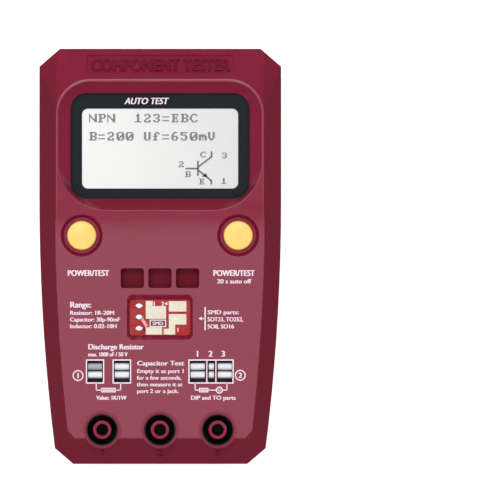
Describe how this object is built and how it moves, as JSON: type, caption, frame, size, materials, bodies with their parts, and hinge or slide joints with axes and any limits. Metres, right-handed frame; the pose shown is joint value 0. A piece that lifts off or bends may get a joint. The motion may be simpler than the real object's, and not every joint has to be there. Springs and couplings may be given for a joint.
{
  "type": "component tester",
  "caption": "Hand-held component tester with a sunken graphic display, two domed buttons, a surface-mount test board, two contact ports and shrouded 4 mm jacks.",
  "frame": {"origin": "middle of the footprint, on the surface that the feet stand on", "axes": "+X is the width, to the right of the display; +Y points to the display end; +Z comes out of the display"},
  "size_m": [0.08, 0.1374, 0.0327],
  "materials": {
    "front_plastic": "satin moulded, dark red",
    "rear_plastic": "fine texture, dark red",
    "button_yellow": "smooth",
    "black_plastic": "moulded",
    "nickel": "nickel plated",
    "spring_steel": "tinned spring steel",
    "zinc_steel": "zinc plated",
    "brass": "knurled",
    "rubber": "soft matte",
    "clear_lens": "clear acrylic",
    "black_print": "printed black",
    "lcd_face": "pale grey display face",
    "white_plastic": "light guide",
    "board_green": "solder mask",
    "board_red": "solder mask",
    "solder": "tinned",
    "capacitor_sleeve": "shrink sleeve",
    "chip_ceramic": "ceramic",
    "resistor_body": "lacquered",
    "battery_can": "printed jacket",
    "foam": "closed-cell foam"
  },
  "bodies": {
    "case": {"battery_contacts": "nickel", "board_screws": "zinc_steel", "case_screws": "zinc_steel", "cover_screw_insert": "brass", "crystal": "nickel", "discharge_resistor": "resistor_body", "display_lens": "clear_lens", "electrolytic_capacitors": "capacitor_sleeve", "front_shell": "front_plastic", "jack_tabs": "nickel", "lcd_backlight": "white_plastic", "lcd_board": "board_green", "lcd_frame": "zinc_steel", "lcd_glass": "lcd_face", "lcd_pins": "nickel", "left_contact_block": "black_plastic", "left_jack_cup": "black_plastic", "left_jack_socket": "nickel", "left_jack_tube": "front_plastic", "left_switch_body": "black_plastic", "lens_border": "black_print", "main_board": "board_green", "microcontroller": "black_plastic", "middle_jack_cup": "black_plastic", "middle_jack_socket": "nickel", "middle_jack_tube": "front_plastic", "rear_shell": "rear_plastic", "right_contact_block": "black_plastic", "right_jack_cup": "black_plastic", "right_jack_socket": "nickel", "right_jack_tube": "front_plastic", "right_switch_body": "black_plastic", "rubber_feet": "rubber", "small_chip_parts": "chip_ceramic", "smd_board": "board_red", "smd_board_pins": "nickel", "smd_pads": "solder", "smd_solder_joints": "solder", "threaded_inserts": "brass", "voltage_regulator": "black_plastic"},
    "left_button": {"left_button_cap": "button_yellow", "left_switch_stem": "black_plastic"},
    "right_button": {"right_button_cap": "button_yellow", "right_switch_stem": "black_plastic"},
    "cover": {"battery_cover": "rear_plastic", "battery_cover_screw": "zinc_steel", "battery_pad": "foam"},
    "battery": {"battery": "battery_can", "battery_terminals": "nickel"},
    "left_port_1_upper": {"left_port_1_upper_leaf": "spring_steel"},
    "left_port_1_lower": {"left_port_1_lower_leaf": "spring_steel"},
    "left_port_2_upper": {"left_port_2_upper_leaf": "spring_steel"},
    "left_port_2_lower": {"left_port_2_lower_leaf": "spring_steel"},
    "right_port_1_upper": {"right_port_1_upper_leaf": "spring_steel"},
    "right_port_1_lower": {"right_port_1_lower_leaf": "spring_steel"},
    "right_port_2_upper": {"right_port_2_upper_leaf": "spring_steel"},
    "right_port_2_lower": {"right_port_2_lower_leaf": "spring_steel"},
    "right_port_3_upper": {"right_port_3_upper_leaf": "spring_steel"},
    "right_port_3_lower": {"right_port_3_lower_leaf": "spring_steel"}
  },
  "joints": [
    {"name": "left_button_press", "type": "slide", "parent": "case", "child": "left_button", "axis": [0, 0, -1], "range_m": [0, 0.0005], "stiffness_N_per_m": 2500},
    {"name": "right_button_press", "type": "slide", "parent": "case", "child": "right_button", "axis": [0, 0, -1], "range_m": [0, 0.0005], "stiffness_N_per_m": 2500},
    {"name": "battery_cover_lift", "type": "slide", "parent": "case", "child": "cover", "axis": [0, 0, -1], "range_m": [0, 0.06]},
    {"name": "battery_lift", "type": "slide", "parent": "case", "child": "battery", "axis": [0, 0, -1], "range_m": [0, 0.028]},
    {"name": "left_port_1_lower_flex", "type": "hinge", "parent": "case", "child": "left_port_1_lower", "pos_m": [-0.0214, -0.04013, 0.0266], "axis": [1, 0, 0], "range_deg": [0, 6], "stiffness_Nm_per_rad": 0.02},
    {"name": "left_port_1_upper_flex", "type": "hinge", "parent": "case", "child": "left_port_1_upper", "pos_m": [-0.0214, -0.03527, 0.0266], "axis": [1, 0, 0], "range_deg": [-6, 0]},
    {"name": "left_port_2_lower_flex", "type": "hinge", "parent": "case", "child": "left_port_2_lower", "pos_m": [-0.01255, -0.04013, 0.0266], "axis": [1, 0, 0], "range_deg": [0, 6], "stiffness_Nm_per_rad": 0.02},
    {"name": "left_port_2_upper_flex", "type": "hinge", "parent": "case", "child": "left_port_2_upper", "pos_m": [-0.01255, -0.03527, 0.0266], "axis": [1, 0, 0], "range_deg": [-6, 0]},
    {"name": "right_port_1_lower_flex", "type": "hinge", "parent": "case", "child": "right_port_1_lower", "pos_m": [0.01245, -0.04013, 0.0266], "axis": [1, 0, 0], "range_deg": [0, 6], "stiffness_Nm_per_rad": 0.02},
    {"name": "right_port_1_upper_flex", "type": "hinge", "parent": "case", "child": "right_port_1_upper", "pos_m": [0.01245, -0.03527, 0.0266], "axis": [1, 0, 0], "range_deg": [-6, 0]},
    {"name": "right_port_2_lower_flex", "type": "hinge", "parent": "case", "child": "right_port_2_lower", "pos_m": [0.01695, -0.04013, 0.0266], "axis": [1, 0, 0], "range_deg": [0, 6], "stiffness_Nm_per_rad": 0.02},
    {"name": "right_port_2_upper_flex", "type": "hinge", "parent": "case", "child": "right_port_2_upper", "pos_m": [0.01695, -0.03527, 0.0266], "axis": [1, 0, 0], "range_deg": [-6, 0]},
    {"name": "right_port_3_lower_flex", "type": "hinge", "parent": "case", "child": "right_port_3_lower", "pos_m": [0.0214, -0.04013, 0.0266], "axis": [1, 0, 0], "range_deg": [0, 6], "stiffness_Nm_per_rad": 0.02},
    {"name": "right_port_3_upper_flex", "type": "hinge", "parent": "case", "child": "right_port_3_upper", "pos_m": [0.0214, -0.03527, 0.0266], "axis": [1, 0, 0], "range_deg": [-6, 0]}
  ],
  "couplings": [
    {"joint": "battery_lift", "follows": "battery_cover_lift", "ratio": 0.45},
    {"joint": "left_port_1_upper_flex", "follows": "left_port_1_lower_flex", "ratio": -1},
    {"joint": "left_port_2_upper_flex", "follows": "left_port_2_lower_flex", "ratio": -1},
    {"joint": "right_port_1_upper_flex", "follows": "right_port_1_lower_flex", "ratio": -1},
    {"joint": "right_port_2_upper_flex", "follows": "right_port_2_lower_flex", "ratio": -1},
    {"joint": "right_port_3_upper_flex", "follows": "right_port_3_lower_flex", "ratio": -1}
  ]
}
